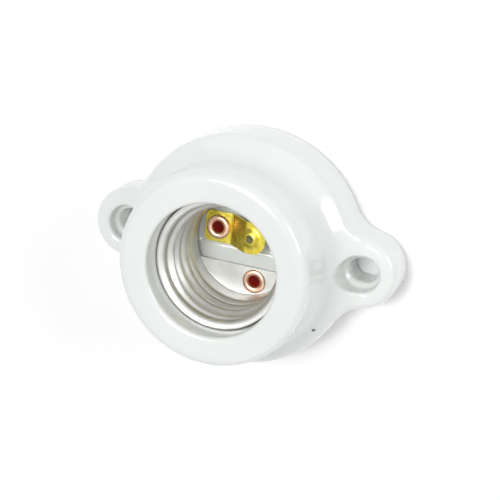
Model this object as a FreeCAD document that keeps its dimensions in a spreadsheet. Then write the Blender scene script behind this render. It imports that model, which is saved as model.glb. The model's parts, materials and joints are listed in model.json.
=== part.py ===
# Porcelain screw-shell lamp holder with two slotted mounting ears.
#
# Axes: +Z runs out of the mouth of the socket and +X runs along the ears.
# The origin is the centre of the flat back face. Lengths are millimetres, angles degrees.
#
# Side outlines are drawn in the X-Z or Y-Z plane with the plane's second axis as height.
import FreeCAD, Part
import math
import os
import re

import Sketcher

# Every size that can be chosen by itself. Each becomes a named cell of the sheet "Sizes".
SIZES = {
    # Porcelain body, outside
    "base_radius": 26.6,
    "body_height": 28.0,
    "collar_radius": 22.0,
    "collar_foot_height": 14.6,
    "collar_sweep_radius": 7.0,
    "collar_edge_radius": 2.2,
    "slope_overrun": 1.8,
    "slope_foot_sweep": 5.0,
    "outline_edge_radius": 1.8,
    "back_edge_radius": 0.6,
    # Mounting ears and their countersunk slots
    "ear_reach": 28.1,
    "ear_radius": 8.2,
    "ear_height": 9.4,
    "ear_root_radius": 8.0,
    "slot_setback": 0.1,
    "slot_length": 6.8,
    "slot_width": 5.2,
    "recess_length": 9.0,
    "recess_width": 8.4,
    "recess_depth": 3.0,
    # Socket cavity
    "bore_gap": 0.75,
    "bore_mouth_radius": 0.8,
    "bore_corner_radius": 1.2,
    "socket_floor_height": 5.0,
    "contact_seat_drop": 0.4,
    "contact_seat_edge": 1.7,
    "contact_seat_inset": 0.2,
    # Screw shell, rolled from sheet
    "shell_sheet": 0.35,
    "thread_minor_radius": 12.25,
    "thread_depth": 1.1,
    "thread_pitch": 3.629,
    "thread_ridge_width": 2.9,
    "shell_band_height": 5.0,
    "rim_drop": 6.2,
    "rim_flare": 0.75,
    "rim_lip_height": 0.6,
    "throat_height": 1.9,
    "throat_gap": 0.15,
    "throat_slope": 0.7,
    "shell_bend_radius": 0.5,
    "shell_floor_land": 0.4,
    # Hollow copper rivets
    "rivet_barrel_radius": 1.8,
    "rivet_wall": 0.45,
    "rivet_head_radius": 2.8,
    "rivet_head_height": 0.75,
    "rivet_foot_radius": 2.5,
    "rivet_foot_height": 0.5,
    "rivet_head_roll": 0.6,
    "rivet_mouth_roll": 0.5,
    "rivet_clearance": 0.1,
    "shell_rivet_x": 2.7,
    "shell_rivet_inset": 3.85,
    "contact_rivet_inset": 4.95,
    "contact_rivet_y": 2.5,
    # Centre contact strip
    "contact_sheet": 0.5,
    "contact_width": 7.2,
    "contact_heel": 3.3,
    "contact_bend_inset": 3.4,
    "contact_rise_angle": 38.0,
    "contact_rise_length": 5.4,
    "contact_tip_angle": 7.0,
    "contact_tip_length": 5.0,
    "contact_bend_radius": 0.8,
    "contact_hole_radius": 1.0,
    "contact_hole_setback": 3.5,
    "contact_corner_radius": 1.2,
    "contact_tip_flat": 0.4,
    # Terminal plates on the back
    "terminal_sheet": 1.0,
    "terminal_width": 6.0,
    "terminal_heel": 3.0,
    "terminal_rise": 2.9,
    "terminal_inset": 5.8,
    "terminal_bend_radius": 0.3,
    "shell_tab_x": 2.7,
    "contact_tab_x": -2.2,
    # Channels and pockets for them in the back face
    "channel_depth": 2.0,
    "channel_clearance": 0.5,
    "pocket_clearance": 0.5,
    # Terminal screws and their square clamp washers
    "screw_radius": 1.5,
    "screw_running_gap": 0.05,
    "screw_length": 6.0,
    "screw_head_radius": 2.6,
    "screw_head_height": 1.5,
    "screw_head_edge": 0.4,
    "screw_slot_width": 0.8,
    "screw_slot_depth": 0.7,
    "screw_point_chamfer": 0.5,
    "screw_hole_gap": 0.7,
    "screw_point_gap": 0.8,
    "washer_side": 5.6,
    "washer_sheet": 0.7,
    "washer_bore_gap": 0.2,
    "washer_riser_gap": 0.4,
    "washer_corner_radius": 0.8,
}

DOC = FreeCAD.newDocument("LampHolder")
SHEET = DOC.addObject("Spreadsheet::Sheet", "Sizes")
PIECES = []


# ---------------------------------------------------------------- sizes and formulas

def fill_sheet():
    """Write each size into the sheet and give its cell the size's name."""
    for row, (alias, amount) in enumerate(SIZES.items(), start=1):
        SHEET.set(f"A{row}", alias.replace("_", " "))
        SHEET.set(f"B{row}", str(amount))
        SHEET.setAlias(f"B{row}", alias)
    DOC.recompute()


def formula(text):
    """Turn a formula in plain size names into one that reads the sheet's cells."""
    return re.sub(r"\b([a-z]+(?:_[a-z]+)+)\b", r"Sizes.\1", text)


def amount(text):
    """Work out a formula in size names."""
    return float(SHEET.evalExpression(formula(text)))


def bind(feature, prop, text):
    """Bind a property of a feature to a formula in size names."""
    feature.setExpression(prop, formula(text))


# ---------------------------------------------------------------- sketches

def sketch_in(body, plane, name, lift=None):
    """Add a sketch on one of the body's own origin planes, lifted along its normal."""
    sketch = body.newObject("Sketcher::SketchObject", name)
    origin_plane = next(f for f in body.Origin.OriginFeatures if f.Role == plane)
    sketch.AttachmentSupport = [(origin_plane, "")]
    sketch.MapMode = "FlatFace"
    if lift is not None:
        bind(sketch, "AttachmentOffset.Base.z", lift)
    return sketch


def pin_point(sketch, geo, point, x_formula, y_formula):
    """Fix one point of a sketch by formulas; a plain 0 puts it on the axis."""
    for kind, axis, text in (("DistanceX", -2, x_formula), ("DistanceY", -1, y_formula)):
        if text == "0":
            sketch.addConstraint(Sketcher.Constraint("PointOnObject", geo, point, axis))
            continue
        constraint = Sketcher.Constraint(kind, -1, 1, geo, point, amount(text))
        index = sketch.addConstraint(constraint)
        bind(sketch, f"Constraints[{index}]", text)


def polygon(sketch, corners):
    """Draw a closed outline of straight lines through corners given as formula pairs."""
    spots = [FreeCAD.Vector(amount(x), amount(y), 0) for x, y in corners]
    count = len(spots)
    first = sketch.GeometryCount
    for index in range(count):
        sketch.addGeometry(Part.LineSegment(spots[index], spots[(index + 1) % count]), False)
    for index in range(count):
        following = first + (index + 1) % count
        sketch.addConstraint(Sketcher.Constraint("Coincident", first + index, 2, following, 1))
    for index, (x_formula, y_formula) in enumerate(corners):
        pin_point(sketch, first + index, 1, x_formula, y_formula)


def box_corners(left, right, low, high):
    """Give the corners of an upright rectangle as formula pairs."""
    return ((left, low), (right, low), (right, high), (left, high))


def circle(sketch, x_formula, y_formula, radius_formula):
    """Draw a circle by its centre and radius."""
    centre = FreeCAD.Vector(amount(x_formula), amount(y_formula), 0)
    normal = FreeCAD.Vector(0, 0, 1)
    geo = sketch.addGeometry(Part.Circle(centre, normal, amount(radius_formula)), False)
    index = sketch.addConstraint(Sketcher.Constraint("Radius", geo, amount(radius_formula)))
    bind(sketch, f"Constraints[{index}]", radius_formula)
    pin_point(sketch, geo, 3, x_formula, y_formula)


def obround(sketch, x_formula, length_formula, width_formula):
    """Draw a slot outline along the sketch's first axis, centred on that axis."""
    middle = amount(x_formula)
    radius = amount(width_formula) / 2
    half = amount(length_formula) / 2 - radius
    normal = FreeCAD.Vector(0, 0, 1)
    ends = []
    for side, start in ((-1, math.pi / 2), (1, -math.pi / 2)):
        ring = Part.Circle(FreeCAD.Vector(middle + side * half, 0, 0), normal, radius)
        ends.append(sketch.addGeometry(Part.ArcOfCircle(ring, start, start + math.pi), False))
    left, right = ends
    low_left = FreeCAD.Vector(middle - half, -radius, 0)
    low_right = FreeCAD.Vector(middle + half, -radius, 0)
    high_right = FreeCAD.Vector(middle + half, radius, 0)
    high_left = FreeCAD.Vector(middle - half, radius, 0)
    low = sketch.addGeometry(Part.LineSegment(low_left, low_right), False)
    high = sketch.addGeometry(Part.LineSegment(high_right, high_left), False)
    for joint in ((left, 2, low, 1), (low, 2, right, 1), (right, 2, high, 1), (high, 2, left, 1)):
        sketch.addConstraint(Sketcher.Constraint("Tangent", *joint))
    sketch.addConstraint(Sketcher.Constraint("Equal", left, right))
    index = sketch.addConstraint(Sketcher.Constraint("Radius", left, radius))
    bind(sketch, f"Constraints[{index}]", f"({width_formula}) / 2")
    reach = f"(({length_formula}) - ({width_formula})) / 2"
    pin_point(sketch, left, 3, f"{x_formula} - {reach}", "0")
    pin_point(sketch, right, 3, f"{x_formula} + {reach}", "0")


# ---------------------------------------------------------------- features

def new_body(name):
    """Start a PartDesign body for one piece and list it for export."""
    body = DOC.addObject("PartDesign::Body", name)
    body.Label = name
    PIECES.append(body)
    return body


def pad(body, sketch, length):
    """Pad a sketch along its normal."""
    feature = body.newObject("PartDesign::Pad", f"{sketch.Name}_pad")
    feature.Profile = sketch
    bind(feature, "Length", length)
    DOC.recompute()
    return feature


def symmetric_pad(body, sketch, length):
    """Pad a sketch equally to both sides of its plane."""
    feature = body.newObject("PartDesign::Pad", f"{sketch.Name}_pad")
    feature.Profile = sketch
    feature.SideType = "Symmetric"
    bind(feature, "Length", length)
    DOC.recompute()
    return feature


def pocket_up(body, sketch, length):
    """Pocket a sketch along its normal, from its plane upwards."""
    feature = body.newObject("PartDesign::Pocket", f"{sketch.Name}_pocket")
    feature.Profile = sketch
    feature.Reversed = True
    bind(feature, "Length", length)
    DOC.recompute()
    return feature


def turn(body, sketch, kind):
    """Revolve or groove a sketch once round its upright axis."""
    feature = body.newObject(f"PartDesign::{kind}", f"{sketch.Name}_{kind.lower()}")
    feature.Profile = sketch
    feature.ReferenceAxis = (sketch, ["V_Axis"])
    feature.Angle = 360
    DOC.recompute()
    return feature


def fillet(body, base, chosen, radius):
    """Round the edges of a feature that the test picks out."""
    names = [f"Edge{i + 1}" for i, edge in enumerate(base.Shape.Edges) if chosen(edge)]
    if not names:
        raise ValueError(f"no edge to round on {base.Name}")
    feature = body.newObject("PartDesign::Fillet", f"{base.Name}_round")
    feature.Base = (base, names)
    bind(feature, "Radius", radius)
    DOC.recompute()
    return feature


def ring_edge(radius, height=None):
    """Make a test for a level circular edge about the Z axis, at a height or above z = 0."""
    wanted_radius = amount(radius)
    wanted_height = None if height is None else amount(height)

    def chosen(edge):
        if not isinstance(edge.Curve, Part.Circle):
            return False
        centre = edge.Curve.Center
        if math.hypot(centre.x, centre.y) > 0.01 or abs(edge.Curve.Radius - wanted_radius) > 0.01:
            return False
        if wanted_height is None:
            return centre.z > 0.01
        return abs(centre.z - wanted_height) < 0.01

    return chosen


def upright_edge(extra=lambda middle: True):
    """Make a test for a straight, nearly upright edge whose middle passes the extra test."""
    def chosen(edge):
        if not isinstance(edge.Curve, Part.Line):
            return False
        return abs(edge.Curve.Direction.z) > 0.98 and extra(edge.CenterOfMass)

    return chosen


def bend_edge(across, first, height):
    """Make a test for a straight edge along X or Y through a point of the side outline."""
    wanted_first = amount(first)
    wanted_height = amount(height)

    def chosen(edge):
        if not isinstance(edge.Curve, Part.Line):
            return False
        middle = edge.CenterOfMass
        place = middle.x if across == "y" else middle.y
        return (abs(getattr(edge.Curve.Direction, across)) > 0.7
                and abs(place - wanted_first) < 0.01 and abs(middle.z - wanted_height) < 0.01)

    return chosen


# ---------------------------------------------------------------- shared levels and places

THREAD_MAJOR = "(thread_minor_radius + thread_depth)"
THROAT = f"({THREAD_MAJOR} + throat_gap)"
RIM = f"({THROAT} + rim_flare)"
BORE = f"({RIM} + bore_gap)"
SLOPE_FOOT = "(base_radius + slope_overrun)"
SLOT_REACH = "(ear_reach - slot_setback)"

CHANNEL_ROOF = "channel_depth"
TERMINAL_REACH = "(base_radius - terminal_inset)"
TERMINAL_TAB_FLOOR = "channel_depth - terminal_sheet + terminal_rise"
TERMINAL_TAB_ROOF = "channel_depth + terminal_rise"
RIM_HEIGHT = "body_height - rim_drop"
SHELL_FLOOR_TOP = "socket_floor_height + shell_sheet"
THREAD_START = "socket_floor_height + shell_band_height + thread_ridge_width / 2"
CONTACT_SEAT = "(socket_floor_height - contact_seat_drop)"
CONTACT_PAD_TOP = f"({CONTACT_SEAT} + contact_sheet)"

SCREW_RADIUS = "(screw_radius - screw_running_gap)"
WASHER_FLOOR = f"{TERMINAL_TAB_FLOOR} - washer_sheet"
RISER = f"({TERMINAL_REACH} - washer_side / 2 - washer_riser_gap - terminal_sheet)"
TAB_END = f"({TERMINAL_REACH} + washer_side / 2)"

SHELL_RIVET_Y = "(shell_rivet_inset - thread_minor_radius)"
SHELL_CHORD = f"({SHELL_RIVET_Y} + rivet_head_radius + shell_floor_land)"
CONTACT_RIVET_X = "(contact_rivet_inset - thread_minor_radius)"

# Each terminal plate runs from its rivet to a tab at the base's rim, one towards -Y and
# one towards +Y: (name, rivet x, rivet y, tab x, way along Y)
TERMINALS = (
    ("shell", "shell_rivet_x", SHELL_RIVET_Y, "shell_tab_x", -1),
    ("contact", CONTACT_RIVET_X, "contact_rivet_y", "contact_tab_x", 1),
)


# ---------------------------------------------------------------- porcelain body

def build_porcelain_body():
    """Glazed porcelain: collar, sloping base, two ears, socket cavity and back channels."""
    body = new_body("porcelain_body")

    disc = sketch_in(body, "XY_Plane", "base_disc")
    circle(disc, "0", "0", "base_radius")
    pad(body, disc, "body_height")

    ears = sketch_in(body, "XY_Plane", "ear_discs")
    for side in (1, -1):
        circle(ears, f"{side} * ear_reach", "0", "ear_radius")
    blank = pad(body, ears, "body_height")
    beside_ears = upright_edge(lambda middle: abs(middle.y) > amount("ear_radius") / 3)
    fillet(body, blank, beside_ears, "ear_root_radius")

    waste = sketch_in(body, "XZ_Plane", "outer_waste")
    far = "ear_reach + ear_radius + 5"
    above = "body_height + 1"
    polygon(waste, (
        ("collar_radius", "collar_foot_height"),
        (SLOPE_FOOT, "ear_height"),
        (far, "ear_height"),
        (far, above),
        ("collar_radius", above),
    ))
    turned = turn(body, waste, "Groove")
    swept = fillet(body, turned, ring_edge("collar_radius", "collar_foot_height"),
                   "collar_sweep_radius")
    levelled = fillet(body, swept, ring_edge(SLOPE_FOOT, "ear_height"), "slope_foot_sweep")
    rounded = fillet(body, levelled, ring_edge("base_radius"), "outline_edge_radius")
    faced = fillet(body, rounded, ring_edge("collar_radius", "body_height"),
                   "collar_edge_radius")
    fillet(body, faced, ring_edge("base_radius", "0"), "back_edge_radius")

    cavity = sketch_in(body, "XZ_Plane", "socket_cavity")
    polygon(cavity, (
        ("0", "socket_floor_height"),
        (BORE, "socket_floor_height"),
        (BORE, above),
        ("0", above),
    ))
    bored = turn(body, cavity, "Groove")
    mouth = fillet(body, bored, ring_edge(BORE, "body_height"), "bore_mouth_radius")
    fillet(body, mouth, ring_edge(BORE, "socket_floor_height"), "bore_corner_radius")
    seat = sketch_in(body, "XY_Plane", "contact_seat", CONTACT_SEAT)
    segment(seat, "thread_minor_radius - contact_seat_inset", "-contact_seat_edge")
    pocket_up(body, seat, "contact_seat_drop")

    recess_floor = "ear_height - recess_depth"
    recesses = sketch_in(body, "XY_Plane", "ear_recesses", recess_floor)
    slots = sketch_in(body, "XY_Plane", "ear_slots")
    for side in (1, -1):
        obround(recesses, f"{side} * {SLOT_REACH}", "recess_length", "recess_width")
        obround(slots, f"{side} * {SLOT_REACH}", "slot_length", "slot_width")
    pocket_up(body, recesses, "body_height")
    pocket_up(body, slots, "body_height")

    cut_back_channels(body)


def cut_back_channels(body):
    """Cut the shallow channels, deeper terminal pockets and holes into the back."""
    rivets = sketch_in(body, "XY_Plane", "rivet_holes")
    points = sketch_in(body, "XY_Plane", "screw_point_holes")
    channels = sketch_in(body, "XY_Plane", "back_channels")
    pockets = sketch_in(body, "XY_Plane", "terminal_pockets")
    half_pocket = "(max(terminal_width, washer_side) / 2 + pocket_clearance)"
    for _, x, y, tab_x, way in TERMINALS:
        circle(rivets, x, y, "rivet_barrel_radius + rivet_clearance")
        circle(points, tab_x, f"({way}) * {TERMINAL_REACH}", "screw_radius + screw_hole_gap")
        polygon(channels, plate_outline(x, y, tab_x, way, RISER, "channel_clearance"))
        near = f"({way}) * ({RISER} - pocket_clearance)"
        far = f"({way}) * ({TAB_END} + pocket_clearance)"
        polygon(pockets, box_corners(f"{tab_x} - {half_pocket}", f"{tab_x} + {half_pocket}",
                                     near, far))
    pocket_up(body, rivets, "body_height / 2")
    pocket_up(body, channels, "channel_depth")
    pocket_up(body, pockets, TERMINAL_TAB_ROOF)
    pocket_up(body, points, f"{WASHER_FLOOR} + screw_length + screw_point_gap")


def plate_outline(x, y, tab_x, way, end, grow):
    """Give the corners of a terminal plate seen from the back, grown all round.

    A square foot round the rivet narrows sideways to the tab's own line in X.
    """
    half = f"(terminal_width / 2 + {grow})"
    heel = f"{y} - ({way}) * (terminal_heel + {grow})"
    knee = f"{y} + ({way}) * terminal_heel"
    near = f"({way}) * ({RISER} - terminal_sheet)"
    far = f"({way}) * ({end} + {grow})"
    return (
        (f"{x} - {half}", heel),
        (f"{x} + {half}", heel),
        (f"{x} + {half}", knee),
        (f"{tab_x} + {half}", near),
        (f"{tab_x} + {half}", far),
        (f"{tab_x} - {half}", far),
        (f"{tab_x} - {half}", near),
        (f"{x} - {half}", knee),
    )


# ---------------------------------------------------------------- screw shell

def build_screw_shell():
    """Rolled screw shell: rounded thread, flared rim and a D-shaped riveting floor."""
    body = new_body("screw_shell")
    outer = "(thread_minor_radius + shell_sheet)"
    throat = f"{RIM_HEIGHT} - throat_height"
    above = f"{RIM_HEIGHT} + 1"

    skin = sketch_in(body, "XZ_Plane", "shell_outside")
    polygon(skin, (
        ("0", "socket_floor_height"),
        (outer, "socket_floor_height"),
        (outer, throat),
        (f"{THROAT} + shell_sheet", f"{throat} + throat_slope"),
        (f"{THROAT} + shell_sheet", f"{RIM_HEIGHT} - rim_lip_height"),
        (RIM, f"{RIM_HEIGHT} - shell_sheet"),
        (RIM, RIM_HEIGHT),
        ("0", RIM_HEIGHT),
    ))
    blank = turn(body, skin, "Revolution")
    fillet(body, blank, ring_edge(outer, "socket_floor_height"),
           "shell_bend_radius + shell_sheet")
    ridge_radius = "((thread_ridge_width ^ 2 / 4 + thread_depth ^ 2) / (2 * thread_depth))"
    ridge_centre = f"({THREAD_MAJOR} + shell_sheet - {ridge_radius})"
    thread_height = (f"{RIM_HEIGHT} - rim_lip_height - thread_ridge_width / 2"
                     f" - ({THREAD_START})")
    helix(body, "AdditiveHelix", "thread_outside", ridge_centre, ridge_radius, thread_height)

    hollow = sketch_in(body, "XZ_Plane", "shell_inside")
    polygon(hollow, (
        ("0", SHELL_FLOOR_TOP),
        ("thread_minor_radius", SHELL_FLOOR_TOP),
        ("thread_minor_radius", throat),
        (THROAT, f"{throat} + throat_slope"),
        (THROAT, f"{RIM_HEIGHT} - rim_lip_height"),
        (f"{RIM} - shell_sheet", RIM_HEIGHT),
        (f"{RIM} - shell_sheet", above),
        ("0", above),
    ))
    hollowed = turn(body, hollow, "Groove")
    fillet(body, hollowed, ring_edge("thread_minor_radius", SHELL_FLOOR_TOP),
           "shell_bend_radius")
    helix(body, "SubtractiveHelix", "thread_inside", ridge_centre,
          f"{ridge_radius} - shell_sheet", thread_height)

    opening = sketch_in(body, "XY_Plane", "floor_opening")
    segment(opening, "thread_minor_radius", SHELL_CHORD)
    pocket_up(body, opening, "socket_floor_height + shell_bend_radius + shell_sheet")
    hole = sketch_in(body, "XY_Plane", "shell_rivet_hole")
    circle(hole, "shell_rivet_x", SHELL_RIVET_Y, "rivet_barrel_radius + rivet_clearance")
    pocket_up(body, hole, "body_height / 2")


def helix(body, kind, name, centre, radius, height):
    """Sweep a round section along the thread's helix, to add or to take away."""
    section = sketch_in(body, "XZ_Plane", name)
    circle(section, f"-{centre}", THREAD_START, radius)
    feature = body.newObject(f"PartDesign::{kind}", f"{name}_helix")
    feature.Profile = section
    feature.ReferenceAxis = (section, ["V_Axis"])
    feature.Mode = "pitch-height-angle"
    bind(feature, "Pitch", "thread_pitch")
    bind(feature, "Height", height)
    DOC.recompute()
    return feature


def segment(sketch, radius_formula, chord_formula):
    """Draw the larger part of a disc that a chord along X leaves above it."""
    radius = amount(radius_formula)
    chord = amount(chord_formula)
    half = math.sqrt(radius ** 2 - chord ** 2)
    start = math.atan2(chord, half)
    ring = Part.Circle(FreeCAD.Vector(0, 0, 0), FreeCAD.Vector(0, 0, 1), radius)
    arc = sketch.addGeometry(Part.ArcOfCircle(ring, start, math.pi - start), False)
    left = FreeCAD.Vector(-half, chord, 0)
    right = FreeCAD.Vector(half, chord, 0)
    line = sketch.addGeometry(Part.LineSegment(left, right), False)
    sketch.addConstraint(Sketcher.Constraint("Coincident", arc, 2, line, 1))
    sketch.addConstraint(Sketcher.Constraint("Coincident", line, 2, arc, 1))
    sketch.addConstraint(Sketcher.Constraint("Coincident", arc, 3, -1, 1))
    sketch.addConstraint(Sketcher.Constraint("Horizontal", line))
    index = sketch.addConstraint(Sketcher.Constraint("Radius", arc, radius))
    bind(sketch, f"Constraints[{index}]", radius_formula)
    index = sketch.addConstraint(Sketcher.Constraint("DistanceY", -1, 1, line, 1, chord))
    bind(sketch, f"Constraints[{index}]", chord_formula)


# ---------------------------------------------------------------- rivets

def build_rivet(name, x, y, seat):
    """Hollow copper rivet from a seat inside the socket to a terminal plate's underside."""
    body = new_body(f"{name}_rivet")
    bore = "(rivet_barrel_radius - rivet_wall)"
    foot_top = "(channel_depth - terminal_sheet)"
    section = sketch_in(body, "XZ_Plane", f"{name}_rivet_section")
    polygon(section, (
        (bore, f"{foot_top} - rivet_foot_height"),
        ("rivet_foot_radius", f"{foot_top} - rivet_foot_height"),
        ("rivet_foot_radius", foot_top),
        ("rivet_barrel_radius", foot_top),
        ("rivet_barrel_radius", seat),
        ("rivet_head_radius", seat),
        ("rivet_head_radius", f"{seat} + rivet_head_height"),
        (bore, f"{seat} + rivet_head_height"),
    ))
    turned = turn(body, section, "Revolution")
    head_top = f"{seat} + rivet_head_height"
    rolled = fillet(body, turned, ring_edge("rivet_head_radius", head_top), "rivet_head_roll")
    fillet(body, rolled, ring_edge(bore, head_top), "rivet_mouth_roll")
    bind(body, "Placement.Base.x", x)
    bind(body, "Placement.Base.y", y)


# ---------------------------------------------------------------- centre contact

def build_contact_spring():
    """One bent brass strip: a riveted pad, a rising tongue and a rounded, pierced tip."""
    body = new_body("contact_spring")
    rise = "contact_rise_angle * 1deg"
    tip = "contact_tip_angle * 1deg"
    bend_x = "contact_bend_inset"
    crest_x = f"({bend_x} + contact_rise_length * cos({rise}))"
    crest_z = f"({CONTACT_SEAT} + contact_rise_length * sin({rise}))"
    end_x = f"({crest_x} + contact_tip_length * cos({tip}))"
    end_z = f"({crest_z} + contact_tip_length * sin({tip}))"
    low_half = "contact_rise_angle / 2 * 1deg"
    high_mean = "(contact_rise_angle + contact_tip_angle) / 2 * 1deg"
    high_half = "(contact_rise_angle - contact_tip_angle) / 2 * 1deg"

    side = sketch_in(body, "XZ_Plane", "contact_side")
    polygon(side, (
        ("-contact_heel", CONTACT_SEAT),
        (bend_x, CONTACT_SEAT),
        (crest_x, crest_z),
        (end_x, end_z),
        (f"{end_x} - contact_sheet * sin({tip})", f"{end_z} + contact_sheet * cos({tip})"),
        (f"{crest_x} - contact_sheet * sin({high_mean}) / cos({high_half})",
         f"{crest_z} + contact_sheet * cos({high_mean}) / cos({high_half})"),
        (f"{bend_x} - contact_sheet * tan({low_half})", CONTACT_PAD_TOP),
        ("-contact_heel", CONTACT_PAD_TOP),
    ))
    strip = symmetric_pad(body, side, "contact_width")

    holes = sketch_in(body, "XY_Plane", "contact_holes")
    circle(holes, "0", "0", "rivet_barrel_radius + rivet_clearance")
    circle(holes, f"{end_x} - contact_hole_setback", "0", "contact_hole_radius")
    pierced = pocket_up(body, holes, "body_height")

    at_tip = upright_edge(lambda middle: middle.x > amount(end_x) - amount("contact_sheet"))
    nosed = fillet(body, pierced, at_tip, "contact_width / 2 - contact_tip_flat")
    at_heel = upright_edge(lambda middle: middle.x < 0.01 - amount("contact_heel"))
    bent = fillet(body, nosed, at_heel, "contact_corner_radius")
    inner = "contact_bend_radius"
    outer = "contact_bend_radius + contact_sheet"
    bends = (
        (bend_x, CONTACT_SEAT, outer),
        (f"{bend_x} - contact_sheet * tan({low_half})", CONTACT_PAD_TOP, inner),
        (crest_x, crest_z, inner),
        (f"{crest_x} - contact_sheet * sin({high_mean}) / cos({high_half})",
         f"{crest_z} + contact_sheet * cos({high_mean}) / cos({high_half})", outer),
    )
    for place, height, radius in bends:
        bent = fillet(body, bent, bend_edge("y", place, height), radius)
    bind(body, "Placement.Base.x", CONTACT_RIVET_X)
    bind(body, "Placement.Base.y", "contact_rivet_y")


# ---------------------------------------------------------------- wire terminals

def build_terminal(name, x, y, tab_x, way):
    """Joggled brass plate from a rivet under the floor to a tapped tab at the rim."""
    body = new_body(f"{name}_terminal")
    low = "(channel_depth - terminal_sheet)"
    heel = f"{y} - ({way}) * terminal_heel"
    riser_in = f"({way}) * {RISER}"
    riser_out = f"({way}) * ({RISER} + terminal_sheet)"
    far = f"({way}) * {TAB_END}"
    side = sketch_in(body, "YZ_Plane", f"{name}_terminal_side")
    polygon(side, (
        (heel, low),
        (riser_out, low),
        (riser_out, TERMINAL_TAB_FLOOR),
        (far, TERMINAL_TAB_FLOOR),
        (far, TERMINAL_TAB_ROOF),
        (riser_in, TERMINAL_TAB_ROOF),
        (riser_in, CHANNEL_ROOF),
        (heel, CHANNEL_ROOF),
    ))
    strip = symmetric_pad(body, side, "base_radius * 2")
    inner = "terminal_bend_radius"
    outer = "terminal_bend_radius + terminal_sheet"
    bends = (
        (riser_out, low, outer),
        (riser_out, TERMINAL_TAB_FLOOR, inner),
        (riser_in, TERMINAL_TAB_ROOF, outer),
        (riser_in, CHANNEL_ROOF, inner),
    )
    for place, height, radius in bends:
        strip = fillet(body, strip, bend_edge("x", place, height), radius)

    trim = sketch_in(body, "XY_Plane", f"{name}_terminal_outline")
    polygon(trim, box_corners("-2 * base_radius", "2 * base_radius",
                              "-2 * base_radius", "2 * base_radius"))
    polygon(trim, plate_outline(x, y, tab_x, way, TAB_END, "0"))
    pocket_up(body, trim, "body_height")
    holes = sketch_in(body, "XY_Plane", f"{name}_terminal_holes")
    circle(holes, x, y, "rivet_barrel_radius + rivet_clearance")
    circle(holes, tab_x, f"({way}) * {TERMINAL_REACH}", "screw_radius")
    pocket_up(body, holes, "body_height")


def build_terminal_screw(name, tab_x, way):
    """Slotted pan-head screw, head towards the back face."""
    body = new_body(f"{name}_terminal_screw")
    head = f"({WASHER_FLOOR} - screw_head_height)"
    tip = f"({WASHER_FLOOR} + screw_length)"
    section = sketch_in(body, "XZ_Plane", f"{name}_screw_section")
    polygon(section, (
        ("0", head),
        ("screw_head_radius", head),
        ("screw_head_radius", WASHER_FLOOR),
        (SCREW_RADIUS, WASHER_FLOOR),
        (SCREW_RADIUS, f"{tip} - screw_point_chamfer"),
        (f"{SCREW_RADIUS} - screw_point_chamfer", tip),
        ("0", tip),
    ))
    turned = turn(body, section, "Revolution")
    fillet(body, turned, ring_edge("screw_head_radius", head), "screw_head_edge")
    slot = sketch_in(body, "XY_Plane", f"{name}_screw_slot", head)
    polygon(slot, box_corners("-screw_slot_width / 2", "screw_slot_width / 2",
                              "-2 * screw_head_radius", "2 * screw_head_radius"))
    pocket_up(body, slot, "screw_slot_depth")
    bind(body, "Placement.Base.x", tab_x)
    bind(body, "Placement.Base.y", f"({way}) * {TERMINAL_REACH}")


def build_clamp_washer(name, tab_x, way):
    """Square washer between the screw's head and the terminal tab."""
    body = new_body(f"{name}_clamp_washer")
    outline = sketch_in(body, "XY_Plane", f"{name}_washer_outline", WASHER_FLOOR)
    half = "washer_side / 2"
    polygon(outline, box_corners(f"-{half}", half, f"-{half}", half))
    plate = pad(body, outline, "washer_sheet")
    fillet(body, plate, upright_edge(), "washer_corner_radius")
    hole = sketch_in(body, "XY_Plane", f"{name}_washer_hole", WASHER_FLOOR)
    circle(hole, "0", "0", "screw_radius + washer_bore_gap")
    pocket_up(body, hole, "washer_sheet")
    bind(body, "Placement.Base.x", tab_x)
    bind(body, "Placement.Base.y", f"({way}) * {TERMINAL_REACH}")


# ---------------------------------------------------------------- everything

fill_sheet()
build_porcelain_body()
build_screw_shell()
build_contact_spring()
build_rivet("shell", "shell_rivet_x", SHELL_RIVET_Y, SHELL_FLOOR_TOP)
build_rivet("contact", CONTACT_RIVET_X, "contact_rivet_y", CONTACT_PAD_TOP)
for piece, rivet_x, rivet_y, tab, direction in TERMINALS:
    build_terminal(piece, rivet_x, rivet_y, tab, direction)
    build_terminal_screw(piece, tab, direction)
    build_clamp_washer(piece, tab, direction)
DOC.recompute()

for item in DOC.Objects:
    if "Invalid" in item.State or "Error" in item.State:
        raise RuntimeError(f"{item.Name} did not build: {item.State}")
os.makedirs("parts", exist_ok=True)
for piece_body in PIECES:
    shape = piece_body.Shape
    if shape.isNull() or not shape.isValid() or len(shape.Solids) != 1:
        raise RuntimeError(f"{piece_body.Label} is not one sound solid")
    shape.exportStep(f"parts/{piece_body.Label}.step")
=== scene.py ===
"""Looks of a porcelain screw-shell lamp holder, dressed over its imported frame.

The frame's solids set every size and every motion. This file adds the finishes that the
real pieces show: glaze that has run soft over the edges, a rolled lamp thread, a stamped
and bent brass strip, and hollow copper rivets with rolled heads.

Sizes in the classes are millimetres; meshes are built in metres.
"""

from __future__ import annotations

import json
import logging
import math
from dataclasses import dataclass, replace
from enum import Enum
from typing import Callable, Sequence

import bpy
from mathutils import Matrix, Vector

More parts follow.
